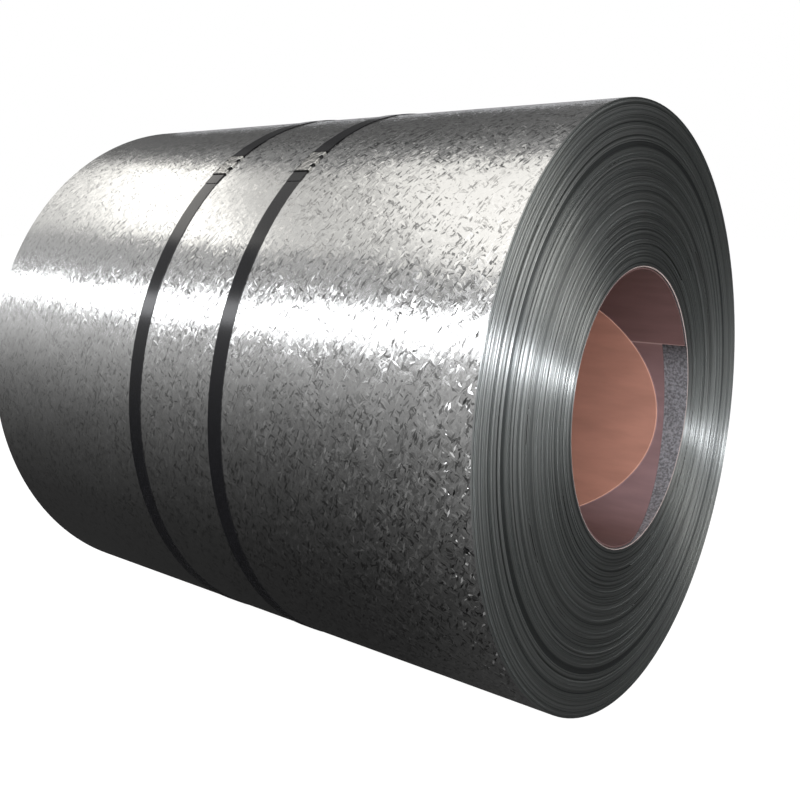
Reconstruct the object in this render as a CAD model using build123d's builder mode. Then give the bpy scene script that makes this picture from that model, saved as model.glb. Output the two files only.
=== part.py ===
"""Hot-dip galvanised steel coil, lying on its side with its eye to the horizon.

A wound strip coil, two steel strapping bands round its outside, a crimped seal on each band,
and a rolled fibreboard liner in its bore. Millimetres, +Z up. X runs along the coil's axis.
The origin is on the floor, under the middle of the coil. Angles go round the axis from +Y
towards +Z. Recesses are measured from the plane of the +X end.
"""

import os
from math import cos, degrees, radians, sin

from build123d import *

# Wound strip
strip_width = 1200.0
strip_thickness = 1.2
coil_outer_radius = 545.0
coil_bore_radius = 254.0
inner_end_angle = 20.0
outer_end_angle = 40.0
strip_end_root = 0.5

# Turns on the ends: groups of turns shifted along the axis, in an uneven order
turn_groups = 12
turn_order = 5
turn_stagger = 3.0
rim_round = 1.0

# Strapping bands
strap_width = 32.0
strap_thickness = 0.9
strap_clearance = 0.1
strap_places = {"inboard": -126.0, "outboard": 87.0}
strap_lap = 112.0

# Crimped seals
seal_angle = 126.5
seal_length = 62.0
seal_wall = 1.0
seal_clearance = 0.1
seal_bevel = 0.5
crimps_per_side = 2
crimp_pitch = 26.0
crimp_length = 8.0
crimp_depth = 3.5

# Rolled fibreboard liner: an outer and an inner turn of board
board_thickness = 3.0
liner_clearance = 0.1
liner_recess_near = 4.0
liner_recess_far = 18.0
outer_turn_recess = 16.0
outer_turn_skew = 35.0
inner_turn_angle = -20.0
inner_turn_recess = 58.0
inner_turn_skew = 251.0
inner_turn_deepest = 225.0

# Derived sizes
strap_inner_radius = coil_outer_radius + strap_clearance
strap_outer_radius = strap_inner_radius + strap_thickness
lap_outer_radius = strap_outer_radius + strap_thickness
axis_height = strap_outer_radius
end_plane_x = (strip_width + turn_stagger) / 2
turn_group_height = (coil_outer_radius - coil_bore_radius) / turn_groups
liner_outer_radius = coil_bore_radius - strip_thickness - liner_clearance
liner_middle_radius = liner_outer_radius - board_thickness
liner_inner_radius = liner_middle_radius - board_thickness
coil_axis = Axis((0, 0, axis_height), (1, 0, 0))
past_end = 20.0


def turn_shift(group):
    """How far a group of turns stands along +X from the middle of the coil."""
    place = group * turn_order % turn_groups
    return turn_stagger * (place / (turn_groups - 1) - 0.5)


def radial_plane(angle):
    """The plane through the coil's axis, with local x along +X and local y outwards at an angle."""
    turned = radians(angle)
    return Plane(origin=(0, 0, axis_height), x_dir=(1, 0, 0), z_dir=(0, -sin(turned), cos(turned)))


def tangent_plane(angle, x):
    """The plane that touches the coil at an angle, with local x along +X and local z outwards."""
    turned = radians(angle)
    outwards = Vector(0, cos(turned), sin(turned))
    return Plane(origin=Vector(x, 0, axis_height) + outwards * coil_outer_radius, x_dir=(1, 0, 0), z_dir=outwards)


def arc_degrees(length, radius):
    return degrees(length / radius)


def end_profile(side):
    """Points of one end from the bore to the rim, with side 1 for +X and -1 for -X."""
    points = []
    for group in range(turn_groups):
        x = turn_shift(group) + side * strip_width / 2
        inner = coil_bore_radius + group * turn_group_height
        outer = inner + turn_group_height
        if group == turn_groups - 1:
            points += [(x, inner), (x, outer - rim_round), (x - side * rim_round, outer)]
        else:
            points += [(x, inner), (x, outer)]
    return points


def strip_end_sliver(radius, angle, x, half_length):
    """A sliver as thick as the strip at an angle, with a square end there, fading out over a quarter turn."""
    with BuildPart() as sliver:
        with BuildSketch(Plane.YZ.offset(x).shift_origin((x, 0, axis_height))):
            Circle(radius + strip_end_root)
            with Locations(Location((0, 0), angle)):
                with Locations((-strip_thickness, 0)):
                    Circle(radius, mode=Mode.SUBTRACT)
                with Locations((0, -radius)):
                    Rectangle(4 * radius, 2 * radius, mode=Mode.SUBTRACT)
                with Locations((-radius, 0)):
                    Rectangle(2 * radius, 4 * radius, mode=Mode.SUBTRACT)
        extrude(amount=half_length, both=True)
    return sliver.part


# The coil: turned from its stepped half section, with a step where the strip starts and one where it ends
with BuildPart() as coil:
    with BuildSketch(radial_plane(90)):
        with BuildLine():
            Polyline(*end_profile(1), *reversed(end_profile(-1)), close=True)
        make_face()
    revolve(axis=coil_axis)
    add(strip_end_sliver(coil_bore_radius, inner_end_angle, turn_shift(0), strip_width / 2))
    add(
        strip_end_sliver(coil_outer_radius, outer_end_angle, 0, end_plane_x + past_end),
        mode=Mode.SUBTRACT,
    )
coil.part.label = "coil"


def crimp_notches(x):
    """V notches in both edges of a seal, cut through the band below as the crimping jaw does."""
    half_width = strap_width / 2 + seal_clearance + seal_wall
    tip = half_width - crimp_depth
    with BuildPart() as notches:
        for place in range(crimps_per_side):
            along = (place - (crimps_per_side - 1) / 2) * crimp_pitch
            with BuildSketch(tangent_plane(seal_angle + arc_degrees(along, coil_outer_radius), x)):
                for side in (-1, 1):
                    with BuildLine():
                        Polyline(
                            (side * tip, 0),
                            (side * (half_width + past_end), crimp_length / 2 * (1 + past_end / crimp_depth)),
                            (side * (half_width + past_end), -crimp_length / 2 * (1 + past_end / crimp_depth)),
                            close=True,
                        )
                    make_face()
            extrude(amount=past_end)
    return notches.part


def strapping(x):
    """A band round the coil at x, with its ends lapped under the seal."""
    with BuildPart() as band:
        with BuildSketch(radial_plane(seal_angle)):
            with Locations((x, (strap_inner_radius + strap_outer_radius) / 2)):
                Rectangle(strap_width, strap_thickness)
        revolve(axis=coil_axis)
        lap_arc = arc_degrees(strap_lap, coil_outer_radius)
        with BuildSketch(radial_plane(seal_angle - lap_arc / 2)):
            with Locations((x, (strap_inner_radius + lap_outer_radius) / 2)):
                Rectangle(strap_width, 2 * strap_thickness)
        revolve(axis=coil_axis, revolution_arc=lap_arc)
        add(crimp_notches(x), mode=Mode.SUBTRACT)
    return band.part


def crimped_seal(x):
    """A seal folded over the lapped band at x."""
    inner_half = strap_width / 2 + seal_clearance
    outer_half = inner_half + seal_wall
    foot = coil_outer_radius + strap_clearance
    ceiling = lap_outer_radius + seal_clearance
    top = ceiling + seal_wall
    seal_arc = arc_degrees(seal_length, coil_outer_radius)
    with BuildPart() as folded:
        with BuildSketch(radial_plane(seal_angle - seal_arc / 2)):
            with BuildLine():
                Polyline(
                    (x - inner_half, foot),
                    (x - inner_half, ceiling),
                    (x + inner_half, ceiling),
                    (x + inner_half, foot),
                    (x + outer_half, foot),
                    (x + outer_half, top - seal_bevel),
                    (x + outer_half - seal_bevel, top),
                    (x - outer_half + seal_bevel, top),
                    (x - outer_half, top - seal_bevel),
                    (x - outer_half, foot),
                    close=True,
                )
            make_face()
        revolve(axis=coil_axis, revolution_arc=seal_arc)
        add(crimp_notches(x), mode=Mode.SUBTRACT)
    return folded.part


# The room in front of the outer turn, below its lap: its edge runs askew, away from the mouth
with BuildPart() as outer_turn_room:
    with BuildSketch(radial_plane(inner_end_angle)):
        with BuildLine():
            reach = liner_outer_radius
            Polyline(
                (end_plane_x - outer_turn_recess + outer_turn_skew, -reach),
                (end_plane_x - outer_turn_recess - outer_turn_skew, reach),
                (end_plane_x + outer_turn_skew, reach),
                (end_plane_x + outer_turn_skew, -reach),
                close=True,
            )
        make_face()
    extrude(amount=-2 * reach)

# The room in front of the inner turn: a tongue of it reaches towards the mouth
with BuildPart() as inner_turn_room:
    with BuildSketch(radial_plane(inner_turn_angle)):
        with BuildLine():
            reach = liner_inner_radius
            nearest = end_plane_x - inner_turn_recess
            deepest = end_plane_x - inner_turn_deepest
            middle = nearest - inner_turn_skew
            Polyline(
                (deepest, reach * (deepest - middle) / inner_turn_skew),
                (nearest + past_end, reach * (nearest + past_end - middle) / inner_turn_skew),
                (end_plane_x + past_end, 2 * reach),
                (end_plane_x + past_end, -2 * reach),
                (deepest, -2 * reach),
                close=True,
            )
        make_face()
    extrude(amount=2 * reach, both=True)

with BuildPart() as inner_turn_front:
    with BuildSketch(Plane.YZ.offset(deepest).shift_origin((deepest, 0, axis_height))):
        Circle(liner_middle_radius)
    extrude(amount=end_plane_x + past_end - deepest)
    add(inner_turn_room.part, mode=Mode.INTERSECT)

# The liner: both turns as one sleeve, with the room in front of each turn cut away
with BuildPart() as bore_liner:
    with BuildSketch(radial_plane(90)):
        with BuildLine():
            Polyline(
                (-end_plane_x + liner_recess_far, liner_inner_radius),
                (end_plane_x - liner_recess_near, liner_inner_radius),
                (end_plane_x - liner_recess_near, liner_outer_radius),
                (-end_plane_x + liner_recess_far, liner_outer_radius),
                close=True,
            )
        make_face()
    revolve(axis=coil_axis)
    add(inner_turn_front.part, mode=Mode.SUBTRACT)
    add(outer_turn_room.part, mode=Mode.SUBTRACT)
bore_liner.part.label = "bore_liner"

os.makedirs("parts", exist_ok=True)
export_step(coil.part, "parts/coil.step")
export_step(bore_liner.part, "parts/bore_liner.step")
for place, strap_x in strap_places.items():
    strap = strapping(strap_x)
    strap.label = f"strap_{place}"
    export_step(strap, f"parts/{strap.label}.step")
    seal = crimped_seal(strap_x)
    seal.label = f"seal_{place}"
    export_step(seal, f"parts/{seal.label}.step")
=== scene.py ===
# Steel coil, hot-dip galvanised: finishes, wound ends and studio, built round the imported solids.
import math
import bpy
from mathutils import Matrix, Vector


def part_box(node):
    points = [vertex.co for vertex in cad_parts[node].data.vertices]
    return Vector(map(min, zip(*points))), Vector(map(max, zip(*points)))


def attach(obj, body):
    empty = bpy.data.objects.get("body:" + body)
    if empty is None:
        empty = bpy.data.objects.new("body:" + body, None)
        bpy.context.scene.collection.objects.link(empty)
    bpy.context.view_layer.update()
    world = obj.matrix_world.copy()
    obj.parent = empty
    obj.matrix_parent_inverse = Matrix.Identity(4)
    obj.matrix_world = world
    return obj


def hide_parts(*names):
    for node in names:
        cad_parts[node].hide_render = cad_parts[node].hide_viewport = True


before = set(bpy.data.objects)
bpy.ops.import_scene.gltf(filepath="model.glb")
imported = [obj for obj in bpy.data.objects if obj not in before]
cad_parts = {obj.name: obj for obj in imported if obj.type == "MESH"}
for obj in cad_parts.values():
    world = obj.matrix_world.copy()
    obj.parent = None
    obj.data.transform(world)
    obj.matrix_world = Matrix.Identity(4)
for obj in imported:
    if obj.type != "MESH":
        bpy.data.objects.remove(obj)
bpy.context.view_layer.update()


def linear(hexColour):
    channels = [int(hexColour[i:i + 2], 16) / 255 for i in (1, 3, 5)]
    return tuple(c / 12.92 if c <= 0.04045 else ((c + 0.055) / 1.055) ** 2.4 for c in channels) + (1.0,)


def addNode(tree, kind, *values, inputs=None, **settings):
    # plain values fill the inputs in order; the others go by name or place in inputs
    node = tree.nodes.new(kind)
    for name, value in settings.items():
        setattr(node, name, value)
    for key, value in [*enumerate(values), *(inputs or {}).items()]:
        if isinstance(value, bpy.types.NodeSocket):
            tree.links.new(value, node.inputs[key])
        else:
            node.inputs[key].default_value = value
    return node.outputs


def newMaterial(name):
    material = bpy.data.materials.new(name)
    material.use_nodes = True
    material.node_tree.nodes.clear()
    return material, material.node_tree


def newShapeTree(name, sockets):
    tree = bpy.data.node_groups.new(name, "GeometryNodeTree")
    tree.is_modifier = True
    for socket, kind in sockets.items():
        tree.interface.new_socket(socket, in_out="INPUT", socket_type="NodeSocket" + kind)
    tree.interface.new_socket("Geometry", in_out="OUTPUT", socket_type="NodeSocketGeometry")
    return tree, addNode(tree, "NodeGroupInput")


def awayFromAxis(tree, place, middle):
    # the way out from the coil's axis, and how far it is
    offset = addNode(tree, "ShaderNodeVectorMath", place, middle, operation="SUBTRACT")[0]
    outwards = addNode(tree, "ShaderNodeVectorMath", offset, (0.0, 1.0, 1.0), operation="MULTIPLY")[0]
    distance = addNode(tree, "ShaderNodeVectorMath", outwards, operation="LENGTH")["Value"]
    return outwards, distance


def placeRoundAxis(tree, along, radius, turned, axisHeight):
    cosine = addNode(tree, "ShaderNodeMath", turned, operation="COSINE")[0]
    sine = addNode(tree, "ShaderNodeMath", turned, operation="SINE")[0]
    sideways = addNode(tree, "ShaderNodeMath", radius, cosine, operation="MULTIPLY")[0]
    upwards = addNode(tree, "ShaderNodeMath", radius, sine, axisHeight, operation="MULTIPLY_ADD")[0]
    return addNode(tree, "ShaderNodeCombineXYZ", along, sideways, upwards)[0]


def closedMesh(tree, grid, place, uv, joinDistance):
    # the map is taken at the points, then each face corner keeps its own, so the seam stays clean
    shaped = addNode(tree, "GeometryNodeSetPosition", inputs={"Geometry": grid, "Position": place})[0]
    atPoints = addNode(tree, "GeometryNodeFieldOnDomain", uv, data_type="FLOAT_VECTOR", domain="POINT")[0]
    mapped = addNode(tree, "GeometryNodeStoreNamedAttribute",
                     inputs={"Geometry": shaped, "Name": "UVMap", "Value": atPoints},
                     data_type="FLOAT2", domain="CORNER")[0]
    joined = addNode(tree, "GeometryNodeMergeByDistance",
                     inputs={"Geometry": mapped, "Distance": joinDistance})[0]
    return addNode(tree, "GeometryNodeRealizeInstances", joined)[0]


def smoothBelow(tree, geometry, degrees, keptSharp=0.0):
    angle = addNode(tree, "GeometryNodeInputMeshEdgeAngle")[0]
    blunt = addNode(tree, "ShaderNodeMath", angle, math.radians(degrees), operation="LESS_THAN")[0]
    free = addNode(tree, "ShaderNodeMath", 1.0, keptSharp, operation="SUBTRACT")[0]
    blunt = addNode(tree, "ShaderNodeMath", blunt, free, operation="MULTIPLY")[0]
    faces = addNode(tree, "GeometryNodeSetShadeSmooth",
                    inputs={"Geometry": geometry, "Shade Smooth": True})[0]
    return addNode(tree, "GeometryNodeSetShadeSmooth", inputs={"Geometry": faces, "Shade Smooth": blunt},
                   domain="EDGE")[0]


def fromTree(name, tree, values):
    # an empty object makes the shape, and its plain mesh is kept
    holder = bpy.data.objects.new(name + "Maker", bpy.data.meshes.new(name + "Maker"))
    bpy.context.scene.collection.objects.link(holder)
    modifier = holder.modifiers.new(name, "NODES")
    modifier.node_group = tree
    for item in tree.interface.items_tree:
        if item.in_out == "INPUT" and item.name in values:
            modifier[item.identifier] = values[item.name]
    evaluated = holder.evaluated_get(bpy.context.evaluated_depsgraph_get())
    mesh = bpy.data.meshes.new_from_object(evaluated)
    bpy.data.objects.remove(holder)
    piece = bpy.data.objects.new(name, mesh)
    bpy.context.scene.collection.objects.link(piece)
    return piece


# The wound coil and its two finishes
coilParts = {
    "sizes": {
        "bore": 0.254,  # steel bore, before the strip's end
        "radius": 0.545,
        "endPlane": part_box("coil")[1].x,
        "axisHeight": 0.546,
        "stripThickness": 0.0012,
        "turns": 96,  # groups of two or three turns, as fine as a picture of the whole coil can show
        "segments": 168,
        "stagger": 0.0018,  # how far the groups stand in and out on the ends
        "unevenness": 0.8,
        "groove": 0.0006,
        "rimDrop": 0.0010,
        "innerEndAngle": 20.0,
        "outerEndAngle": 40.0,
        "seed": 4,
    },
    "sheet": {
        "colour": "#D6D6D5",
        "roughness": (0.15, 0.25),  # brightest and dullest crystals
        "flakeLength": 0.017,  # needle-like zinc crystals, 17 by 4 mm
        "flakeWidth": 0.0042,
        "layers": 7,
        "share": 0.55,  # of the crystals that show in each layer
        "softEdge": (0.62, 0.42),  # of a crystal, as shares of its size
        "bendsPerMetre": 70.0,  # the crystals' sides bend every 14 mm
        "bend": 0.006,
        "tilt": 0.085,  # lean of the rare steepest flakes
        "rareFrom": 0.222,
        "darkest": 0.46,  # tone of the darkest flakes
        "darkShare": 0.34,
        "quietEnd": 0.45,  # how strongly the flakes show at the far end
        "quietSpan": (-0.45, 0.0),
        "edgeTilt": 6.0,  # more lean of a few flakes along the handled near edge, on its lower half
        "edgeBand": (0.548, 0.562),
        "edgeAngles": (166, 176),
        "cloudsPerMetre": 11.0,  # slow unevenness, 90 mm wide, which makes the edges of reflections cloudy
        "wobble": 0.035,
    },
    "bore": {
        "colour": "#8A8A8E",
        "specksPerMetre": 210.0,  # dust in 5 mm specks, as coarse as it needs to show
        "speckTones": (0.55, 1.35),
        "paintedShadowAngles": (8, 18),  # painted shadow just under the strip's inner end
        "paintedShadowTone": 0.42,
        "lessMetallic": 0.6,
        "rougher": 0.2,
    },
    "edges": {
        "colour": "#B9BCBB",
        "darkColour": "#8C908F",
        # painted shade in the gaps where turns stand apart
        "gapShadeColour": "#767A7A",
        # painted highlight along the bore's edge, tinted by the board
        "paintedHighlightColour": "#B9A9A4",
        "paintedHighlightRim": 0.0014,
        "roughness": 0.40,
        "anisotropy": 0.95,
        "spread": 2.6,  # how far the turns lean their own ways
        "drift": 0.002,  # how far the rings wander from true circles
        "finePerMetre": 1300.0,  # one strip edge, just under 1 mm
        "broadPerMetre": 260.0,  # groups of three turns, 4 mm
        "patchPerMetre": 60.0,  # 17 mm
        "gapsPerMetre": 26.0,
        "gapSpan": (0.012, 0.003),
        "shadeSpan": (0.32, 0.62),
    },
}


# A grid whose columns go round the axis and whose rows follow the half section of the coil
def woundCoilTree():
    sockets = {name: "Float" for name in coilParts["sizes"]}
    sockets.update({name: "Int" for name in ("turns", "segments", "seed")})
    sockets.update({name: "Material" for name in ("finish", "endFinish")})
    tree, given = newShapeTree("woundCoil", sockets)

    # Three rows for each turn on the +X end, three for each on the -X end, then back to the bore
    rowsPerEnd = addNode(tree, "ShaderNodeMath", given["turns"], 3.0, operation="MULTIPLY")[0]
    loop = addNode(tree, "ShaderNodeMath", rowsPerEnd, 2.0, operation="MULTIPLY")[0]
    rows = addNode(tree, "ShaderNodeMath", loop, 1.0, operation="ADD")[0]
    columns = addNode(tree, "ShaderNodeMath", given["segments"], 1.0, operation="ADD")[0]
    grid = addNode(tree, "GeometryNodeMeshGrid", 1.0, 1.0, columns, rows)["Mesh"]
    index = addNode(tree, "GeometryNodeInputIndex")[0]
    pastHalf = addNode(tree, "ShaderNodeMath", index, 0.5, operation="ADD")[0]
    column = addNode(tree, "ShaderNodeMath", pastHalf, rows, operation="DIVIDE")[0]
    column = addNode(tree, "ShaderNodeMath", column, operation="FLOOR")[0]
    before = addNode(tree, "ShaderNodeMath", column, rows, operation="MULTIPLY")[0]
    row = addNode(tree, "ShaderNodeMath", index, before, operation="SUBTRACT")[0]
    row = addNode(tree, "ShaderNodeMath", row, loop, operation="MODULO")[0]
    turned = addNode(tree, "ShaderNodeMath", column, given["segments"], operation="DIVIDE")[0]
    turned = addNode(tree, "ShaderNodeMath", turned, math.tau, -math.pi / 2, operation="MULTIPLY_ADD")[0]

    # Which end, which turn from the bore, and which of its three rows
    onNear = addNode(tree, "ShaderNodeMath", row, rowsPerEnd, operation="LESS_THAN")[0]
    side = addNode(tree, "ShaderNodeMath", onNear, 2.0, -1.0, operation="MULTIPLY_ADD")[0]
    lastRow = addNode(tree, "ShaderNodeMath", loop, 1.0, operation="SUBTRACT")[0]
    fromLast = addNode(tree, "ShaderNodeMath", lastRow, row, operation="SUBTRACT")[0]
    fromBore = addNode(tree, "GeometryNodeSwitch", inputs={"Switch": onNear, "True": row, "False": fromLast},
                       input_type="FLOAT")[0]
    turn = addNode(tree, "ShaderNodeMath", fromBore, 0.25, operation="ADD")[0]
    turn = addNode(tree, "ShaderNodeMath", turn, 3.0, operation="DIVIDE")[0]
    turn = addNode(tree, "ShaderNodeMath", turn, operation="FLOOR")[0]
    step = addNode(tree, "ShaderNodeMath", fromBore, 3.0, operation="MODULO")[0]
    depth = addNode(tree, "ShaderNodeMath", given["radius"], given["bore"], operation="SUBTRACT")[0]
    pitch = addNode(tree, "ShaderNodeMath", depth, given["turns"], operation="DIVIDE")[0]

    def boundary(number):
        # the radius where a turn begins, uneven except at the bore and the rim
        fromFirst = addNode(tree, "ShaderNodeMath", number, 1.0, operation="MINIMUM")[0]
        toLast = addNode(tree, "ShaderNodeMath", given["turns"], number, operation="SUBTRACT")[0]
        toLast = addNode(tree, "ShaderNodeMath", toLast, 1.0, operation="MINIMUM")[0]
        inside = addNode(tree, "ShaderNodeMath", fromFirst, toLast, operation="MULTIPLY")[0]
        chance = addNode(tree, "FunctionNodeRandomValue",
                         inputs={2: -0.5, 3: 0.5, "ID": number, "Seed": given["seed"]}, data_type="FLOAT")[1]
        uneven = addNode(tree, "ShaderNodeMath", chance, given["unevenness"], operation="MULTIPLY")[0]
        place = addNode(tree, "ShaderNodeMath", uneven, inside, number, operation="MULTIPLY_ADD")[0]
        return addNode(tree, "ShaderNodeMath", pitch, place, given["bore"], operation="MULTIPLY_ADD")[0]

    inner = boundary(turn)
    outer = boundary(addNode(tree, "ShaderNodeMath", turn, 1.0, operation="ADD")[0])
    width = addNode(tree, "ShaderNodeMath", outer, inner, operation="SUBTRACT")[0]
    halfSteps = addNode(tree, "ShaderNodeMath", step, 2.0, operation="DIVIDE")[0]
    radius = addNode(tree, "ShaderNodeMath", width, halfSteps, inner, operation="MULTIPLY_ADD")[0]

    # Each turn keeps its width, so one that stands out at one end stands in at the other
    nextSeed = addNode(tree, "ShaderNodeMath", given["seed"], 1.0, operation="ADD")[0]
    chance = addNode(tree, "FunctionNodeRandomValue",
                     inputs={2: -0.5, 3: 0.5, "ID": turn, "Seed": nextSeed}, data_type="FLOAT")[1]
    shift = addNode(tree, "ShaderNodeMath", chance, given["stagger"], operation="MULTIPLY")[0]
    offMiddle = addNode(tree, "ShaderNodeMath", step, 1.0, operation="SUBTRACT")[0]
    offMiddle = addNode(tree, "ShaderNodeMath", offMiddle, operation="ABSOLUTE")[0]
    grooved = addNode(tree, "ShaderNodeMath", offMiddle, given["groove"], operation="MULTIPLY")[0]
    reach = addNode(tree, "ShaderNodeMath", given["stagger"], -0.5, given["endPlane"],
                    operation="MULTIPLY_ADD")[0]
    reach = addNode(tree, "ShaderNodeMath", reach, grooved, operation="SUBTRACT")[0]
    along = addNode(tree, "ShaderNodeMath", side, reach, shift, operation="MULTIPLY_ADD")[0]

    # The strip's two ends: a step that fades out over a quarter turn
    fromRim = addNode(tree, "ShaderNodeMath", given["radius"], radius, operation="SUBTRACT")[0]
    fromWall = addNode(tree, "ShaderNodeMath", radius, given["bore"], operation="SUBTRACT")[0]
    nearRim = addNode(tree, "ShaderNodeMath", fromRim, 0.0001, operation="LESS_THAN")[0]
    nearWall = addNode(tree, "ShaderNodeMath", fromWall, 0.0001, operation="LESS_THAN")[0]
    for where, endAngle in ((nearRim, given["outerEndAngle"]), (nearWall, given["innerEndAngle"])):
        start = addNode(tree, "ShaderNodeMath", endAngle, operation="RADIANS")[0]
        past = addNode(tree, "ShaderNodeMath", turned, start, operation="SUBTRACT")[0]
        past = addNode(tree, "ShaderNodeMath", past, math.tau, 0.0, operation="WRAP")[0]
        fade = addNode(tree, "ShaderNodeMath", past, operation="COSINE")[0]
        fade = addNode(tree, "ShaderNodeMath", fade, given["stripThickness"], operation="MULTIPLY")[0]
        within = addNode(tree, "ShaderNodeMath", past, math.pi / 2, operation="LESS_THAN")[0]
        within = addNode(tree, "ShaderNodeMath", within, where, operation="MULTIPLY")[0]
        lowered = addNode(tree, "ShaderNodeMath", fade, within, operation="MULTIPLY")[0]
        radius = addNode(tree, "ShaderNodeMath", radius, lowered, operation="SUBTRACT")[0]
    drop = addNode(tree, "ShaderNodeMath", nearRim, given["rimDrop"], operation="MULTIPLY")[0]
    drop = addNode(tree, "ShaderNodeMath", drop, side, operation="MULTIPLY")[0]
    along = addNode(tree, "ShaderNodeMath", along, drop, operation="SUBTRACT")[0]

    place = placeRoundAxis(tree, along, radius, turned, given["axisHeight"])
    around = addNode(tree, "ShaderNodeMath", turned, given["radius"], operation="MULTIPLY")[0]
    uv = addNode(tree, "ShaderNodeCombineXYZ", along, around)[0]
    real = closedMesh(tree, grid, place, uv, 0.00002)
    outwards = addNode(tree, "GeometryNodeFlipFaces", real)[0]

    # The outside and the bore are faces as long as the coil, so their middles lie near its middle
    middle = addNode(tree, "GeometryNodeInputPosition")[0]
    offCentre = addNode(tree, "ShaderNodeSeparateXYZ", middle)["X"]
    offCentre = addNode(tree, "ShaderNodeMath", offCentre, operation="ABSOLUTE")[0]
    halfway = addNode(tree, "ShaderNodeMath", given["endPlane"], 0.5, operation="MULTIPLY")[0]
    isEnd = addNode(tree, "ShaderNodeMath", halfway, offCentre, operation="LESS_THAN")[0]
    # Both rims stay sharp, so the long faces keep straight reflections
    axis = addNode(tree, "ShaderNodeCombineXYZ", 0.0, 0.0, given["axisHeight"])[0]
    away = awayFromAxis(tree, middle, axis)[1]
    rimFoot = addNode(tree, "ShaderNodeMath", given["stripThickness"], -1.2, given["radius"],
                      operation="MULTIPLY_ADD")[0]
    outermost = addNode(tree, "ShaderNodeMath", rimFoot, away, operation="LESS_THAN")[0]
    mouth = addNode(tree, "ShaderNodeMath", given["bore"], 0.0002, operation="ADD")[0]
    innermost = addNode(tree, "ShaderNodeMath", away, mouth, operation="LESS_THAN")[0]
    onRim = addNode(tree, "ShaderNodeMath", outermost, innermost, operation="MAXIMUM")[0]
    onRim = addNode(tree, "ShaderNodeMath", onRim, isEnd, operation="MULTIPLY")[0]
    smooth = smoothBelow(tree, outwards, 50.0, onRim)
    skin = addNode(tree, "GeometryNodeSetMaterial",
                   inputs={"Geometry": smooth, "Material": given["finish"]})[0]
    ends = addNode(tree, "GeometryNodeSetMaterial",
                   inputs={"Geometry": skin, "Selection": isEnd, "Material": given["endFinish"]})[0]
    addNode(tree, "NodeGroupOutput", ends)
    return tree


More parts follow.
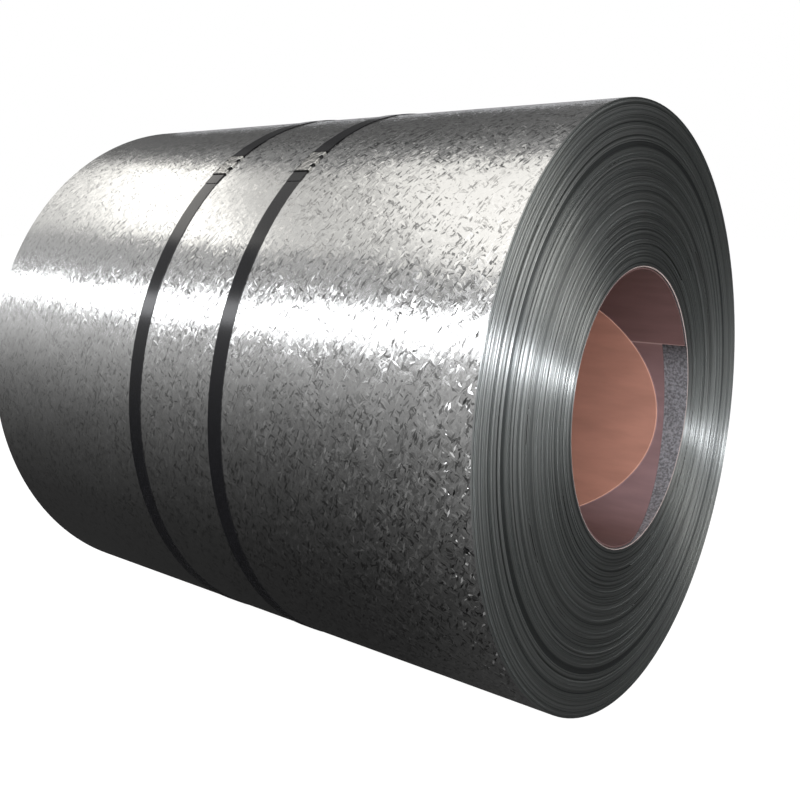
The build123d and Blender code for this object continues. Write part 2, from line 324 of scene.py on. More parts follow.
# Hot-dip galvanised steel, frozen from the bath: bright zinc in needle-like crystals, each of which tilts
# the reflection a little, so the eye sees a frosted sheen with dark and light needles
def galvanisedSheet():
    sizes, look, dusty = coilParts["sizes"], coilParts["sheet"], coilParts["bore"]
    material, tree = newMaterial("galvanisedSheet")
    uv = addNode(tree, "ShaderNodeUVMap", uv_map="UVMap")[0]
    wander = addNode(tree, "ShaderNodeTexNoise", inputs={
        "Vector": uv, "Scale": look["bendsPerMetre"], "Detail": 1.0}, noise_dimensions="2D")["Color"]
    wander = addNode(tree, "ShaderNodeVectorMath", wander, (look["bend"], look["bend"], 0.0),
                     operation="MULTIPLY")[0]
    bent = addNode(tree, "ShaderNodeVectorMath", uv, wander, operation="ADD")[0]
    tiltX, tiltRound, dull = 0.0, 0.0, 0.35
    for layer in range(look["layers"]):
        turned = addNode(tree, "ShaderNodeMapping", inputs={
            "Vector": bent,
            "Location": (0.37 * layer, 0.61 * layer, 0.0),
            "Rotation": (0.0, 0.0, math.pi * (layer * 3 % look["layers"] + 0.3) / look["layers"]),
            "Scale": (look["flakeLength"], look["flakeWidth"], 1.0),
        }, vector_type="TEXTURE")[0]
        cells = addNode(tree, "ShaderNodeTexVoronoi", inputs={"Vector": turned, "Scale": 1.0},
                        voronoi_dimensions="2D", distance="MANHATTAN")
        chance = addNode(tree, "ShaderNodeSeparateColor", cells["Color"])
        inside = addNode(tree, "ShaderNodeMapRange", cells["Distance"], *look["softEdge"])[0]
        chosen = addNode(tree, "ShaderNodeMath", chance[0], look["share"], operation="LESS_THAN")[0]
        flake = addNode(tree, "ShaderNodeMath", inside, chosen, operation="MULTIPLY")[0]
        leanX = addNode(tree, "ShaderNodeMath", chance[1], 0.5, operation="SUBTRACT")[0]
        leanRound = addNode(tree, "ShaderNodeMath", chance[2], 0.5, operation="SUBTRACT")[0]
        tiltX = addNode(tree, "ShaderNodeMix", inputs={0: flake, 2: tiltX, 3: leanX})[0]
        tiltRound = addNode(tree, "ShaderNodeMix", inputs={0: flake, 2: tiltRound, 3: leanRound})[0]
        dull = addNode(tree, "ShaderNodeMix", inputs={0: flake, 2: dull, 3: chance[1]})[0]

    along, around = addNode(tree, "ShaderNodeSeparateXYZ", uv)[:2]
    shown = addNode(tree, "ShaderNodeMapRange", along, *look["quietSpan"], look["quietEnd"])[0]
    handled = addNode(tree, "ShaderNodeMapRange", along, *look["edgeBand"])[0]
    angle = addNode(tree, "ShaderNodeMath", around, sizes["radius"], operation="DIVIDE")[0]
    edgeStart, edgeEnd = [math.radians(degrees) for degrees in look["edgeAngles"]]
    lower = addNode(tree, "ShaderNodeMapRange", angle, edgeStart, edgeEnd)[0]
    scuffed = addNode(tree, "ShaderNodeMath", handled, lower, operation="MULTIPLY")[0]
    scuffed = addNode(tree, "ShaderNodeMath", scuffed, look["edgeTilt"], operation="MULTIPLY")[0]

    def steepened(tilt):
        # most flakes lie nearly flat, a few lean steeply
        square = addNode(tree, "ShaderNodeMath", tilt, tilt, operation="MULTIPLY")[0]
        kept = addNode(tree, "ShaderNodeMath", square, 3.0, 0.25, operation="MULTIPLY_ADD")[0]
        rare = addNode(tree, "ShaderNodeMath", square, look["rareFrom"], operation="GREATER_THAN")[0]
        strength = addNode(tree, "ShaderNodeMath", scuffed, rare, shown, operation="MULTIPLY_ADD")[0]
        steep = addNode(tree, "ShaderNodeMath", tilt, kept, operation="MULTIPLY")[0]
        steep = addNode(tree, "ShaderNodeMath", steep, strength, operation="MULTIPLY")[0]
        return addNode(tree, "ShaderNodeMath", steep, 2 * look["tilt"], operation="MULTIPLY")[0]

    clouds = addNode(tree, "ShaderNodeTexNoise", inputs={
        "Vector": uv, "Scale": look["cloudsPerMetre"], "Detail": 3.0, "Roughness": 0.6,
    }, noise_dimensions="2D")[0]
    clouds = addNode(tree, "ShaderNodeMath", clouds, 0.5, operation="SUBTRACT")[0]
    leanRound = addNode(tree, "ShaderNodeMath", clouds, 2 * look["wobble"], steepened(tiltRound),
                        operation="MULTIPLY_ADD")[0]
    normal = addNode(tree, "ShaderNodeNewGeometry")["Normal"]
    across = addNode(tree, "ShaderNodeVectorMath", normal, (1.0, 0.0, 0.0), operation="CROSS_PRODUCT")[0]
    lean = addNode(tree, "ShaderNodeVectorMath", inputs={0: across, "Scale": leanRound}, operation="SCALE")[0]
    leanX = addNode(tree, "ShaderNodeCombineXYZ", steepened(tiltX))[0]
    lean = addNode(tree, "ShaderNodeVectorMath", lean, leanX, operation="ADD")[0]
    tilted = addNode(tree, "ShaderNodeVectorMath", normal, lean, operation="ADD")[0]
    tilted = addNode(tree, "ShaderNodeVectorMath", tilted, operation="NORMALIZE")[0]
    roughness = addNode(tree, "ShaderNodeMapRange", dull, 0.0, 1.0, *look["roughness"])[0]
    tone = addNode(tree, "ShaderNodeMapRange", dull, 0.0, look["darkShare"], look["darkest"])[0]
    tone = addNode(tree, "ShaderNodeMix", inputs={0: shown, 2: 1.0, 3: tone})[0]

    # the dusty steel in the bore reflects less and scatters more, and is painted darker just under the
    # strip's inner end as shadow
    place = addNode(tree, "ShaderNodeTexCoord")["Object"]
    outwards, radius = awayFromAxis(tree, place, (0.0, 0.0, sizes["axisHeight"]))
    inBore = addNode(tree, "ShaderNodeMath", radius, sizes["bore"] + 0.002, operation="LESS_THAN")[0]
    specks = addNode(tree, "ShaderNodeTexNoise", inputs={
        "Vector": place, "Scale": dusty["specksPerMetre"], "Detail": 2.0})[0]
    specks = addNode(tree, "ShaderNodeMapRange", specks, 0.35, 0.65, *dusty["speckTones"])[0]
    parts = addNode(tree, "ShaderNodeSeparateXYZ", outwards)
    boreAngle = addNode(tree, "ShaderNodeMath", parts["Z"], parts["Y"], operation="ARCTAN2")[0]
    shadowStart, shadowEnd = [math.radians(degrees) for degrees in dusty["paintedShadowAngles"]]
    # painted shadow: the bore steel darkens just under the strip's inner end
    paintedShadow = addNode(tree, "ShaderNodeMapRange", boreAngle, shadowStart, shadowEnd, 1.0, dusty["paintedShadowTone"])[0]
    boreDustAndShadow = addNode(tree, "ShaderNodeMath", specks, paintedShadow, operation="MULTIPLY")[0]
    tone = addNode(tree, "ShaderNodeMix", inputs={0: inBore, 2: tone, 3: boreDustAndShadow})[0]
    colour = addNode(tree, "ShaderNodeMix", inputs={
        0: inBore, 6: linear(look["colour"]), 7: linear(dusty["colour"])}, data_type="RGBA")[2]
    colour = addNode(tree, "ShaderNodeVectorMath", inputs={0: colour, "Scale": tone}, operation="SCALE")[0]
    metallic = addNode(tree, "ShaderNodeMath", inBore, -dusty["lessMetallic"], 1.0,
                       operation="MULTIPLY_ADD")[0]
    roughness = addNode(tree, "ShaderNodeMath", inBore, dusty["rougher"], roughness,
                        operation="MULTIPLY_ADD")[0]
    shader = addNode(tree, "ShaderNodeBsdfPrincipled", inputs={
        "Base Color": colour, "Metallic": metallic, "Roughness": roughness, "Normal": tilted})[0]
    addNode(tree, "ShaderNodeOutputMaterial", shader)
    return material


# Slit steel edges, cut by rollers and wound side by side: each turn leans its own way, so the light spreads
# across the turns in a bright fan. The turns are drawn as coarse as they need to show
def woundEdges():
    sizes, look = coilParts["sizes"], coilParts["edges"]
    material, tree = newMaterial("woundEdges")
    place = addNode(tree, "ShaderNodeTexCoord")["Object"]
    fromAxis, radius = awayFromAxis(tree, place, (0.0, 0.0, sizes["axisHeight"]))
    outward = addNode(tree, "ShaderNodeVectorMath", fromAxis, operation="NORMALIZE")[0]
    drift = addNode(tree, "ShaderNodeTexNoise", inputs={"Vector": outward, "Scale": 1.3, "Detail": 1.0})[0]
    drifted = addNode(tree, "ShaderNodeMath", drift, look["drift"], radius, operation="MULTIPLY_ADD")[0]

    def rings(perMetre, offset):
        where = addNode(tree, "ShaderNodeMath", drifted, perMetre, offset, operation="MULTIPLY_ADD")[0]
        return addNode(tree, "ShaderNodeTexNoise", inputs={"W": where, "Scale": 1.0, "Detail": 1.0},
                       noise_dimensions="1D")[0]

    broad = rings(look["broadPerMetre"], 7.3)
    fineLean = addNode(tree, "ShaderNodeMath", rings(look["finePerMetre"], 0.0), 0.5, operation="SUBTRACT")[0]
    broadLean = addNode(tree, "ShaderNodeMath", broad, 0.5, operation="SUBTRACT")[0]
    lean = addNode(tree, "ShaderNodeMath", broadLean, 0.6, fineLean, operation="MULTIPLY_ADD")[0]
    lean = addNode(tree, "ShaderNodeMath", lean, 2 * look["spread"], operation="MULTIPLY")[0]
    leant = addNode(tree, "ShaderNodeVectorMath", inputs={0: outward, "Scale": lean}, operation="SCALE")[0]
    normal = addNode(tree, "ShaderNodeNewGeometry")["Normal"]
    tilted = addNode(tree, "ShaderNodeVectorMath", normal, leant, operation="ADD")[0]
    tilted = addNode(tree, "ShaderNodeVectorMath", tilted, operation="NORMALIZE")[0]

    patch = addNode(tree, "ShaderNodeMath", rings(look["patchPerMetre"], 3.1), 0.3, operation="MULTIPLY")[0]
    shade = addNode(tree, "ShaderNodeMath", broad, 0.7, patch, operation="MULTIPLY_ADD")[0]
    shade = addNode(tree, "ShaderNodeMapRange", shade, *look["shadeSpan"])[0]
    # a few turns stand apart, and the gap between them is painted dark as shade; the innermost turn's edge is
    # painted as a pale, board-tinted highlight
    apart = addNode(tree, "ShaderNodeMath", rings(look["gapsPerMetre"], 11.9), 0.5, operation="SUBTRACT")[0]
    apart = addNode(tree, "ShaderNodeMath", apart, operation="ABSOLUTE")[0]
    gapShade = addNode(tree, "ShaderNodeMapRange", apart, *look["gapSpan"])[0]
    # painted highlight: the innermost turn's edge is pale, board-tinted and not metallic
    paintedHighlightRim = addNode(tree, "ShaderNodeMath", radius, sizes["bore"] + look["paintedHighlightRim"], operation="LESS_THAN")[0]
    colour = linear(look["darkColour"])
    for share, name in ((shade, "colour"), (gapShade, "gapShadeColour"), (paintedHighlightRim, "paintedHighlightColour")):
        colour = addNode(tree, "ShaderNodeMix", inputs={0: share, 6: colour, 7: linear(look[name])},
                         data_type="RGBA")[2]
    metallic = addNode(tree, "ShaderNodeMath", 1.0, paintedHighlightRim, operation="SUBTRACT")[0]
    shader = addNode(tree, "ShaderNodeBsdfPrincipled", inputs={
        "Base Color": colour, "Metallic": metallic, "Roughness": look["roughness"],
        "Anisotropic": look["anisotropy"], "Tangent": outward, "Normal": tilted})[0]
    addNode(tree, "ShaderNodeOutputMaterial", shader)
    return material


# The strapping bands and their crimped seals
bandParts = {
    "places": {"inboard": -0.126, "outboard": 0.087},
    "strap": {"halfWidth": 0.016, "height": 0.0009, "sideWall": 0.0, "topWall": 0.0009, "bevel": 0.0002,
              "footRadius": 0.5451, "sweep": 371.77, "lift": 0.0009, "segments": 256, "crowding": 0.9},
    "seal": {"halfWidth": 0.0171, "height": 0.0029, "sideWall": 0.001, "topWall": 0.001, "bevel": 0.0006,
             "footRadius": 0.5451, "sweep": 6.517, "lift": 0.0, "segments": 96, "crowding": 0.0},
    "crimps": {"middle": 126.5, "crimpPitch": 0.026, "crimpLength": 0.008, "crimpTip": 0.0136,
               "crimpDepth": 0.0035},
    # the bands run a little askew: how far, where furthest towards the near end, and the middle's shift
    "run": {"skew": 0.030, "skewAngle": 100.0, "skewMiddle": -0.003},
    "strapFinish": {"colour": "#131315", "roughness": 0.17, "ior": 1.45},
    # the seal's dark colour is painted shade in the crimp dents and at its lips
    "sealFinish": {"colour": "#C4C3C0", "crimpColour": "#1E1D1D", "roughness": 0.24, "dent": 0.0025,
                   "dentLength": 0.0050, "dentDepth": 0.0060, "dentEdge": (1.15, 0.75), "lipStart": 0.0275,
                   "lumpsPerMetre": 90.0},  # lumps 11 mm across
}


# A band or seal: a thick bent section of six points outside and six inside, swept round the coil, closed at
# both ends and pinched by the crimps
def bandTree():
    names = (*bandParts["strap"], *bandParts["crimps"], *bandParts["run"], "place", "axisHeight")
    sockets = {**{name: "Float" for name in names}, "segments": "Int", "finish": "Material"}
    tree, given = newShapeTree("sweptBand", sockets)

    rows = 13
    columns = addNode(tree, "ShaderNodeMath", given["segments"], 3.0, operation="ADD")[0]
    grid = addNode(tree, "GeometryNodeMeshGrid", 1.0, 1.0, columns, rows)["Mesh"]
    index = addNode(tree, "GeometryNodeInputIndex")[0]
    pastHalf = addNode(tree, "ShaderNodeMath", index, 0.5, operation="ADD")[0]
    column = addNode(tree, "ShaderNodeMath", pastHalf, rows, operation="DIVIDE")[0]
    column = addNode(tree, "ShaderNodeMath", column, operation="FLOOR")[0]
    before = addNode(tree, "ShaderNodeMath", column, rows, operation="MULTIPLY")[0]
    point = addNode(tree, "ShaderNodeMath", index, before, operation="SUBTRACT")[0]
    point = addNode(tree, "ShaderNodeMath", point, rows - 1, operation="MODULO")[0]
    onOuter = addNode(tree, "ShaderNodeMath", point, 5.5, operation="LESS_THAN")[0]
    back = addNode(tree, "ShaderNodeMath", 11.0, point, operation="SUBTRACT")[0]
    corner = addNode(tree, "GeometryNodeSwitch", inputs={"Switch": onOuter, "True": point, "False": back},
                     input_type="FLOAT")[0]
    # The first and last columns close the ends
    first = addNode(tree, "ShaderNodeMath", column, 0.5, operation="LESS_THAN")[0]
    lastColumn = addNode(tree, "ShaderNodeMath", columns, 1.5, operation="SUBTRACT")[0]
    last = addNode(tree, "ShaderNodeMath", lastColumn, column, operation="LESS_THAN")[0]
    capping = addNode(tree, "ShaderNodeMath", first, last, operation="MAXIMUM")[0]
    uncapped = addNode(tree, "ShaderNodeMath", 1.0, capping, operation="SUBTRACT")[0]
    outer = addNode(tree, "ShaderNodeMath", onOuter, uncapped, operation="MULTIPLY")[0]

    # The section: corners 0 and 5 are the feet, 1 and 4 the shoulders, 2 and 3 the top
    mirrored = addNode(tree, "ShaderNodeMath", 5.0, corner, operation="SUBTRACT")[0]
    fold = addNode(tree, "ShaderNodeMath", corner, mirrored, operation="MINIMUM")[0]
    aboveFoot = addNode(tree, "ShaderNodeMath", fold, 0.5, operation="GREATER_THAN")[0]
    onTop = addNode(tree, "ShaderNodeMath", fold, 1.5, operation="GREATER_THAN")[0]
    onRight = addNode(tree, "ShaderNodeMath", corner, 2.5, operation="GREATER_THAN")[0]
    side = addNode(tree, "ShaderNodeMath", onRight, 2.0, -1.0, operation="MULTIPLY_ADD")[0]
    rounded = addNode(tree, "ShaderNodeMath", given["bevel"], onTop, operation="MULTIPLY")[0]
    outerX = addNode(tree, "ShaderNodeMath", given["halfWidth"], rounded, operation="SUBTRACT")[0]
    shoulder = addNode(tree, "ShaderNodeMath", given["height"], given["bevel"], operation="SUBTRACT")[0]
    outerZ = addNode(tree, "ShaderNodeMath", shoulder, rounded, operation="ADD")[0]
    outerZ = addNode(tree, "ShaderNodeMath", outerZ, aboveFoot, operation="MULTIPLY")[0]
    innerX = addNode(tree, "ShaderNodeMath", given["halfWidth"], given["sideWall"], operation="SUBTRACT")[0]
    ceiling = addNode(tree, "ShaderNodeMath", given["height"], given["topWall"], operation="SUBTRACT")[0]
    innerZ = addNode(tree, "ShaderNodeMath", ceiling, aboveFoot, operation="MULTIPLY")[0]
    across = addNode(tree, "GeometryNodeSwitch", inputs={"Switch": outer, "True": outerX, "False": innerX},
                     input_type="FLOAT")[0]
    upwards = addNode(tree, "GeometryNodeSwitch", inputs={"Switch": outer, "True": outerZ, "False": innerZ},
                      input_type="FLOAT")[0]

    # The run round the coil, with columns crowded near the seal
    lastShare = addNode(tree, "ShaderNodeMath", given["segments"], 1.0, operation="ADD")[0]
    share = addNode(tree, "ShaderNodeMapRange", column, 1.0, lastShare)[0]
    wave = addNode(tree, "ShaderNodeMath", share, math.tau, operation="MULTIPLY")[0]
    wave = addNode(tree, "ShaderNodeMath", wave, operation="SINE")[0]
    crowding = addNode(tree, "ShaderNodeMath", given["crowding"], math.tau, operation="DIVIDE")[0]
    crowded = addNode(tree, "ShaderNodeMath", wave, crowding, operation="MULTIPLY")[0]
    swept = addNode(tree, "ShaderNodeMath", share, crowded, operation="SUBTRACT")[0]
    swept = addNode(tree, "ShaderNodeMath", swept, given["sweep"], operation="MULTIPLY")[0]
    # A seal is centred on the middle, and a full band on its overlap
    isShort = addNode(tree, "ShaderNodeMath", given["sweep"], 360.0, operation="LESS_THAN")[0]
    overlap = addNode(tree, "ShaderNodeMath", given["sweep"], 360.0, operation="SUBTRACT")[0]
    centred = addNode(tree, "GeometryNodeSwitch", inputs={
        "Switch": isShort, "True": given["sweep"], "False": overlap}, input_type="FLOAT")[0]
    start = addNode(tree, "ShaderNodeMath", centred, -0.5, given["middle"], operation="MULTIPLY_ADD")[0]
    angle = addNode(tree, "ShaderNodeMath", start, swept, operation="ADD")[0]
    # The band climbs over its own start
    climb = addNode(tree, "ShaderNodeMapRange", swept, 355.0, 360.0, interpolation_type="SMOOTHSTEP")[0]
    radius = addNode(tree, "ShaderNodeMath", given["footRadius"], upwards, operation="ADD")[0]
    radius = addNode(tree, "ShaderNodeMath", climb, given["lift"], radius, operation="MULTIPLY_ADD")[0]

    # The crimps pinch both edges
    offMiddle = addNode(tree, "ShaderNodeMath", angle, given["middle"], operation="SUBTRACT")[0]
    offMiddle = addNode(tree, "ShaderNodeMath", offMiddle, 180.0, -180.0, operation="WRAP")[0]
    offMiddle = addNode(tree, "ShaderNodeMath", offMiddle, operation="RADIANS")[0]
    alongBand = addNode(tree, "ShaderNodeMath", offMiddle, given["footRadius"], operation="MULTIPLY")[0]
    arc = addNode(tree, "ShaderNodeMath", alongBand, operation="ABSOLUTE")[0]
    offCrimp = addNode(tree, "ShaderNodeMath", given["crimpPitch"], -0.5, arc, operation="MULTIPLY_ADD")[0]
    offCrimp = addNode(tree, "ShaderNodeMath", offCrimp, operation="ABSOLUTE")[0]
    slope = addNode(tree, "ShaderNodeMath", given["crimpDepth"], given["crimpLength"], operation="DIVIDE")[0]
    slope = addNode(tree, "ShaderNodeMath", slope, 2.0, operation="MULTIPLY")[0]
    opening = addNode(tree, "ShaderNodeMath", offCrimp, slope, given["crimpTip"], operation="MULTIPLY_ADD")[0]
    across = addNode(tree, "ShaderNodeMath", across, opening, operation="MINIMUM")[0]
    offset = addNode(tree, "ShaderNodeMath", side, across, operation="MULTIPLY")[0]

    fromSkew = addNode(tree, "ShaderNodeMath", angle, given["skewAngle"], operation="SUBTRACT")[0]
    fromSkew = addNode(tree, "ShaderNodeMath", fromSkew, operation="RADIANS")[0]
    askew = addNode(tree, "ShaderNodeMath", fromSkew, operation="COSINE")[0]
    askew = addNode(tree, "ShaderNodeMath", askew, given["skew"], given["skewMiddle"],
                    operation="MULTIPLY_ADD")[0]
    along = addNode(tree, "ShaderNodeMath", given["place"], askew, operation="ADD")[0]
    along = addNode(tree, "ShaderNodeMath", along, offset, operation="ADD")[0]
    turned = addNode(tree, "ShaderNodeMath", angle, operation="RADIANS")[0]
    place = placeRoundAxis(tree, along, radius, turned, given["axisHeight"])
    uv = addNode(tree, "ShaderNodeCombineXYZ", offset, alongBand)[0]
    smooth = smoothBelow(tree, closedMesh(tree, grid, place, uv, 0.000005), 30.0)
    skin = addNode(tree, "GeometryNodeSetMaterial",
                   inputs={"Geometry": smooth, "Material": given["finish"]})[0]
    addNode(tree, "NodeGroupOutput", skin)
    return tree


# Painted and waxed steel strapping: a smooth black skin that shows soft grey glints of the lamps
def blackStrapping():
    look = bandParts["strapFinish"]
    material, tree = newMaterial("blackStrapping")
    shader = addNode(tree, "ShaderNodeBsdfPrincipled", inputs={
        "Base Color": linear(look["colour"]), "Roughness": look["roughness"], "IOR": look["ior"]})[0]
    addNode(tree, "ShaderNodeOutputMaterial", shader)
    return material


# Zinc-coated steel, folded and crimped: bright and lumpy, and dented where the jaws bit its edges; the dents
# and its lips are painted near black as shade
def crimpedZinc():
    crimps, look = bandParts["crimps"], bandParts["sealFinish"]
    material, tree = newMaterial("sealZinc")
    uv = addNode(tree, "ShaderNodeUVMap", uv_map="UVMap")[0]
    across, along = addNode(tree, "ShaderNodeSeparateXYZ", uv)[:2]
    across = addNode(tree, "ShaderNodeMath", across, operation="ABSOLUTE")[0]
    along = addNode(tree, "ShaderNodeMath", along, operation="ABSOLUTE")[0]
    fromCrimp = addNode(tree, "ShaderNodeMath", along, crimps["crimpPitch"] / 2, operation="SUBTRACT")[0]
    fromCrimp = addNode(tree, "ShaderNodeMath", fromCrimp, look["dentLength"], operation="DIVIDE")[0]
    fromEdge = addNode(tree, "ShaderNodeMath", bandParts["seal"]["halfWidth"], across,
                       operation="SUBTRACT")[0]
    fromEdge = addNode(tree, "ShaderNodeMath", fromEdge, look["dentDepth"], operation="DIVIDE")[0]
    offset = addNode(tree, "ShaderNodeCombineXYZ", fromCrimp, fromEdge)[0]
    reach = addNode(tree, "ShaderNodeVectorMath", offset, operation="LENGTH")["Value"]
    dent = addNode(tree, "ShaderNodeMapRange", reach, *look["dentEdge"], interpolation_type="SMOOTHSTEP")[0]
    # painted shade: the lips at both ends are near black
    lips = addNode(tree, "ShaderNodeMath", along, look["lipStart"], operation="GREATER_THAN")[0]
    paintedShade = addNode(tree, "ShaderNodeMath", dent, lips, operation="MAXIMUM")[0]
    colour = addNode(tree, "ShaderNodeMix", inputs={
        0: paintedShade, 6: linear(look["colour"]), 7: linear(look["crimpColour"])}, data_type="RGBA")[2]
    lumps = addNode(tree, "ShaderNodeTexNoise", inputs={
        "Vector": uv, "Scale": look["lumpsPerMetre"], "Detail": 2.0})[0]
    lumps = addNode(tree, "ShaderNodeMath", lumps, 0.9, operation="MULTIPLY")[0]
    height = addNode(tree, "ShaderNodeMath", dent, -1.0, lumps, operation="MULTIPLY_ADD")[0]
    bump = addNode(tree, "ShaderNodeBump", inputs={"Height": height, "Distance": look["dent"]})[0]
    shader = addNode(tree, "ShaderNodeBsdfPrincipled", inputs={
        "Base Color": colour, "Metallic": 1.0, "Roughness": look["roughness"], "Normal": bump})[0]
    addNode(tree, "ShaderNodeOutputMaterial", shader)
    return material


# The liner in the bore
linerParts = {
    # one board: the inner turn's colour is painted light, the outer turn's painted shade
    "innerTurnLit": "#AE7D6C",
    "outerTurnShaded": "#654B49",
    "outerTurnLitBelowLap": "#84696A",  # painted light: the outer turn below its lap, lit
    # the cut edge is paler, partly as its own cut and partly as a painted highlight
    "cutEdgeAndHighlight": "#BE8E7C",
    # painted highlight along the lap's edge
    "lapHighlight": "#8F7672",
    "between": 0.2482,  # radius that parts the two turns
    "lapAngle": 20.0,
    "lapWidth": 0.006,  # half of it, in radians
    "litBandFades": ((-85, -60, 0.0, 1.0), (-10, 18, 1.0, 0.25)),  # painted light on the band below the lap, fading to painted shade at the bottom and towards the lap: from and to in degrees, with the shares there
    "grainPerMetre": 9.0,  # streaks of 110 by 28 mm, as its fibres are too fine to show
    "grainStretch": (1.0, 4.0, 4.0),
    "grainTones": (0.88, 1.08),
    "roughness": 0.75,
    "specular": 0.3,
}


# Brown fibreboard, pressed and rolled into the bore: matt and faintly streaked. Both turns are one board,
# painted paler as lit on the turn nearer the axis and darker as shaded on the outer turn; its cut edge is
# palest, partly its own cut and partly a painted highlight
def rolledBoard():
    material, tree = newMaterial("fibreboard")
    place = addNode(tree, "ShaderNodeTexCoord")["Object"]
    outwards, radius = awayFromAxis(tree, place, (0.0, 0.0, coilParts["sizes"]["axisHeight"]))
    parts = addNode(tree, "ShaderNodeSeparateXYZ", outwards)
    angle = addNode(tree, "ShaderNodeMath", parts["Z"], parts["Y"], operation="ARCTAN2")[0]
    lapAngle = math.radians(linerParts["lapAngle"])
    isOuter = addNode(tree, "ShaderNodeMath", radius, linerParts["between"], operation="GREATER_THAN")[0]
    # the outer turn is painted paler below its lap as light on it, and darker at the bottom and near the lap
    # as shade; its lap's edge is a fine painted highlight along the bore
    litBelowLap = addNode(tree, "ShaderNodeMath", angle, lapAngle, operation="LESS_THAN")[0]
    for start, end, startShare, endShare in linerParts["litBandFades"]:
        fade = addNode(tree, "ShaderNodeMapRange", angle, math.radians(start), math.radians(end), startShare,
                       endShare)[0]
        litBelowLap = addNode(tree, "ShaderNodeMath", litBelowLap, fade, operation="MULTIPLY")[0]
    offLap = addNode(tree, "ShaderNodeMath", angle, lapAngle, operation="SUBTRACT")[0]
    offLap = addNode(tree, "ShaderNodeMath", offLap, operation="ABSOLUTE")[0]
    onLap = addNode(tree, "ShaderNodeMath", offLap, linerParts["lapWidth"], operation="LESS_THAN")[0]
    onLap = addNode(tree, "ShaderNodeMath", onLap, isOuter, operation="MULTIPLY")[0]
    facing = addNode(tree, "ShaderNodeNewGeometry")["True Normal"]
    facing = addNode(tree, "ShaderNodeSeparateXYZ", facing)["X"]
    facing = addNode(tree, "ShaderNodeMath", facing, operation="ABSOLUTE")[0]
    isInner = addNode(tree, "ShaderNodeMath", 1.0, isOuter, operation="SUBTRACT")[0]
    isEdge = addNode(tree, "ShaderNodeMath", facing, 0.5, operation="GREATER_THAN")[0]
    isEdge = addNode(tree, "ShaderNodeMath", isEdge, isInner, operation="MULTIPLY")[0]
    # the outer turn's colour is the board painted in shade
    colour = linear(linerParts["outerTurnShaded"])
    layers = {"outerTurnLitBelowLap": litBelowLap, "innerTurnLit": isInner, "lapHighlight": onLap, "cutEdgeAndHighlight": isEdge}
    for name, share in layers.items():
        colour = addNode(tree, "ShaderNodeMix", inputs={0: share, 6: colour, 7: linear(linerParts[name])},
                         data_type="RGBA")[2]
    streaks = addNode(tree, "ShaderNodeVectorMath", place, linerParts["grainStretch"],
                      operation="MULTIPLY")[0]
    grain = addNode(tree, "ShaderNodeTexNoise", inputs={
        "Vector": streaks, "Scale": linerParts["grainPerMetre"], "Detail": 4.0})[0]
    grain = addNode(tree, "ShaderNodeMapRange", grain, 0.3, 0.7, *linerParts["grainTones"])[0]
    colour = addNode(tree, "ShaderNodeVectorMath", inputs={0: colour, "Scale": grain}, operation="SCALE")[0]
    shader = addNode(tree, "ShaderNodeBsdfPrincipled", inputs={
        "Base Color": colour, "Roughness": linerParts["roughness"],
        "Specular IOR Level": linerParts["specular"]})[0]
    addNode(tree, "ShaderNodeOutputMaterial", shader)
    return material


# The studio: lamps in a dim room, over a pale floor
studio = {
    "overheads": {  # over the coil, as spans of X and Y, at a height above its axis
        "overheadNear": {"spanX": (-1.3, 7.0), "spanY": (-2.2, 0.3), "radiance": 1.0},
        "overheadDim": {"spanX": (-2.45, -1.3), "spanY": (-1.8, 0.2), "radiance": 0.36},
        "overheadWindow": {"spanX": (-3.2, -2.45), "spanY": (-1.55, 0.5), "radiance": 2.0},
        "overheadFar": {"spanX": (-3.6, -3.2), "spanY": (-1.5, 0.7), "radiance": 1.1},
        "overheadFarthest": {"spanX": (-5.8, -3.6), "spanY": (-1.3, 0.6), "radiance": 0.35},
    },
    "overheadHeight": 2.5,
    "overheadColour": "#FFFCF6",
    "strips": {  # parallel to the axis; angles go round it from the back over the top to the front
        "frontStripFar": {"angle": 146.8, "distance": 3.37, "width": 0.26, "spanX": (-9.0, -4.4),
                          "radiance": 11.0},
        "frontStrip": {"angle": 151.0, "distance": 3.37, "width": 0.54, "spanX": (-4.4, 1.2),
                       "radiance": 4.6},
        "frontStripNear": {"angle": 153.0, "distance": 3.37, "width": 0.24, "spanX": (1.2, 9.0),
                           "radiance": 42.0},
        "endFill": {"angle": 125.0, "distance": 3.37, "width": 2.2, "spanX": (-0.7, 3.0), "radiance": 0.8},
        "backStrip": {"angle": 28.0, "distance": 3.0, "width": 0.5, "spanX": (-4.0, 0.2), "radiance": 0.55},
    },
    "stripColour": "#FAFBFF",
    "ambient": 0.22,
    "floorSize": 60.0,
    "floorColour": 0.95,
    "floorGlow": 1.24,  # lifts the floor to white in the picture
    "floorGlowShare": 0.8,
    "tentRadius": 9.0,
    # what the metal sees of the dim room, from straight back (0) over the top to the floor (270)
    "tentFar": ((0, 0.015), (18, 0.04), (30, 0.10), (58, 0.12), (64, 0.24), (120, 0.40), (137, 0.40),
                (162, 0.52), (170, 0.42), (178, 0.30), (187, 0.20), (196, 0.135), (206, 0.085), (225, 0.045),
                (250, 0.025), (345, 0.015)),
    "tentNear": ((0, 0.06), (18, 0.14), (30, 0.22), (58, 0.26), (64, 0.45), (120, 0.62), (137, 0.65),
                 (162, 0.95), (170, 0.95), (178, 0.95), (185, 0.92), (196, 0.82), (206, 0.70), (225, 0.40),
                 (250, 0.20), (345, 0.065)),
    "nearFade": (-0.62, 0.3),
    "farGlow": 1.3,  # how much brighter the room is towards its far end
    "farFade": (-0.8, -1.5),
}


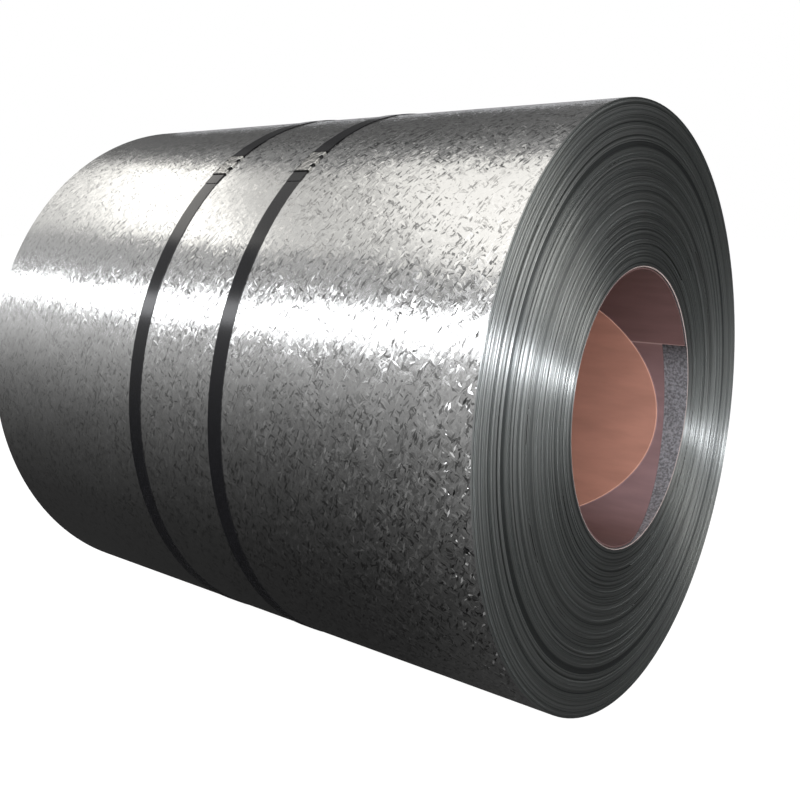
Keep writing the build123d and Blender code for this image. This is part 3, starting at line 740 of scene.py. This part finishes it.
def areaLamp(name, item, place, out, width, colour):
    # a soft lamp along the coil's axis, that shines against the given direction
    left, right = item["spanX"]
    lamp = bpy.data.objects.new(name, bpy.data.lights.new(name, "AREA"))
    lamp.data.shape = "RECTANGLE"
    lamp.data.size = right - left
    lamp.data.size_y = width
    lamp.data.energy = item["radiance"] * math.pi * width * (right - left)
    lamp.data.color = linear(colour)[:3]
    lamp.location = place + Vector(((left + right) / 2, 0.0, coilParts["sizes"]["axisHeight"]))
    side = Vector((0.0, out.z, -out.y))
    axes = ((1.0, side.x, out.x), (0.0, side.y, out.y), (0.0, side.z, out.z))
    lamp.rotation_euler = Matrix(axes).to_euler()
    bpy.context.scene.collection.objects.link(lamp)


def buildLamps():
    for name, item in studio["overheads"].items():
        front, back = item["spanY"]
        place = Vector((0.0, (back + front) / 2, studio["overheadHeight"]))
        areaLamp(name, item, place, Vector((0.0, 0.0, 1.0)), back - front, studio["overheadColour"])
    for name, item in studio["strips"].items():
        turned = math.radians(item["angle"])
        out = Vector((0.0, math.cos(turned), math.sin(turned)))
        areaLamp(name, item, out * item["distance"], out, item["width"], studio["stripColour"])


# The room that only reflections see: grey walls, brighter over the coil and towards the far end
def tentMaterial():
    material, tree = newMaterial("studioTent")
    place = addNode(tree, "ShaderNodeTexCoord")["Object"]
    parts = addNode(tree, "ShaderNodeSeparateXYZ", place)
    height = addNode(tree, "ShaderNodeMath", parts["Z"], coilParts["sizes"]["axisHeight"],
                     operation="SUBTRACT")[0]
    share = addNode(tree, "ShaderNodeMath", height, parts["Y"], operation="ARCTAN2")[0]
    share = addNode(tree, "ShaderNodeMath", share, math.tau, operation="DIVIDE")[0]
    share = addNode(tree, "ShaderNodeMath", share, 1.0, operation="ADD")[0]
    share = addNode(tree, "ShaderNodeMath", share, operation="FRACT")[0]
    levels = []
    for stops in (studio["tentFar"], studio["tentNear"]):
        levels.append(addNode(tree, "ShaderNodeValToRGB", share)[0])
        marks = levels[-1].node.color_ramp.elements
        for number, (degrees, level) in enumerate(stops):
            mark = marks[number] if number < 2 else marks.new(degrees / 360)
            mark.position = degrees / 360
            mark.color = (level, level, level, 1.0)
    outwards = addNode(tree, "ShaderNodeVectorMath", place, (0.0, 1.0, 1.0), operation="MULTIPLY")[0]
    away = addNode(tree, "ShaderNodeVectorMath", outwards, operation="LENGTH")["Value"]
    along = addNode(tree, "ShaderNodeMath", parts["X"], away, operation="DIVIDE")[0]
    isNear = addNode(tree, "ShaderNodeMapRange", along, *studio["nearFade"])[0]
    level = addNode(tree, "ShaderNodeMix", inputs={0: isNear, 6: levels[0], 7: levels[1]},
                    data_type="RGBA")[2]
    strength = addNode(tree, "ShaderNodeMapRange", along, *studio["farFade"], 1.0, studio["farGlow"])[0]
    glow = addNode(tree, "ShaderNodeEmission", inputs={"Color": level, "Strength": strength})[0]
    addNode(tree, "ShaderNodeOutputMaterial", glow)
    return material


# Matt white floor: takes the shadow, and shows near white
def paleFloor():
    material, tree = newMaterial("paleFloor")
    lit = addNode(tree, "ShaderNodeBsdfDiffuse", (*[studio["floorColour"]] * 3, 1.0))[0]
    glow = addNode(tree, "ShaderNodeEmission", inputs={"Strength": studio["floorGlow"]})[0]
    isSeen = addNode(tree, "ShaderNodeLightPath")["Is Camera Ray"]
    share = addNode(tree, "ShaderNodeMath", isSeen, studio["floorGlowShare"], operation="MULTIPLY")[0]
    mixed = addNode(tree, "ShaderNodeMixShader", share, lit, glow)[0]
    addNode(tree, "ShaderNodeOutputMaterial", mixed)
    return material


def buildRoom():
    bpy.ops.mesh.primitive_plane_add(size=studio["floorSize"])
    floor = bpy.context.active_object
    floor.name = "floor"
    floor.data.materials.append(paleFloor())
    floor.visible_glossy = False
    bpy.ops.mesh.primitive_uv_sphere_add(radius=studio["tentRadius"], segments=48, ring_count=24)
    tent = bpy.context.active_object
    tent.name = "studioTent"
    tent.data.materials.append(tentMaterial())
    tent.visible_camera = False
    tent.visible_diffuse = False
    tent.visible_shadow = False
    tent.visible_transmission = False


# White to the camera, to gloss and through glass, and dim as a light
def buildWorld():
    world = bpy.data.worlds.new("studioWorld")
    bpy.context.scene.world = world
    world.use_nodes = True
    tree = world.node_tree
    tree.nodes.clear()
    path = addNode(tree, "ShaderNodeLightPath")
    seen = path["Is Camera Ray"]
    for kind in ("Is Glossy Ray", "Is Transmission Ray"):
        seen = addNode(tree, "ShaderNodeMath", seen, path[kind], operation="MAXIMUM")[0]
    strength = addNode(tree, "ShaderNodeMapRange", seen, 0.0, 1.0, studio["ambient"], 1.0)[0]
    background = addNode(tree, "ShaderNodeBackground", (1.0, 1.0, 1.0, 1.0), strength)[0]
    addNode(tree, "ShaderNodeOutputWorld", background)


photoCamera = {"place": (1.2575, -1.5651, 0.8949), "yaw": 127.328, "pitch": -7.812, "lens": 41.81,
               "shiftY": -0.075}


def buildCamera():
    yaw, pitch = math.radians(photoCamera["yaw"]), math.radians(photoCamera["pitch"])
    looking = Vector((math.cos(pitch) * math.cos(yaw), math.cos(pitch) * math.sin(yaw), math.sin(pitch)))
    camera = bpy.data.objects.new("photoCamera", bpy.data.cameras.new("photoCamera"))
    camera.data.lens = photoCamera["lens"]
    camera.data.sensor_width = 36.0
    camera.data.shift_y = photoCamera["shiftY"]
    camera.location = photoCamera["place"]
    camera.rotation_euler = looking.to_track_quat("-Z", "Y").to_euler()
    bpy.context.scene.collection.objects.link(camera)
    bpy.context.scene.camera = camera


bpy.context.scene.view_settings.view_transform = "Standard"
buildCamera()
buildLamps()
buildRoom()
buildWorld()
print("studio ready")

coilInputs = {**coilParts["sizes"], "finish": galvanisedSheet(), "endFinish": woundEdges()}
coil = fromTree("woundCoil", woundCoilTree(), coilInputs)
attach(coil, "root")
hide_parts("coil")
print("coil wound,", len(coil.data.polygons), "faces")

strapping, zinc, sweptBand = blackStrapping(), crimpedZinc(), bandTree()
for place, x in bandParts["places"].items():
    for kind, finish, slotName in (("strap", strapping, "strapping"), ("seal", zinc, "seal")):
        bandInputs = {**bandParts[kind], **bandParts["crimps"], **bandParts["run"], "place": x,
                      "axisHeight": coilParts["sizes"]["axisHeight"], "finish": finish}
        piece = fromTree(kind + "_" + place + "_shown", sweptBand, bandInputs)
        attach(piece, "root")
        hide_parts(kind + "_" + place)
print("bands and seals swept")

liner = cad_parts["bore_liner"]
liner.data.materials.clear()
liner.data.materials.append(rolledBoard())
print("liner dressed")
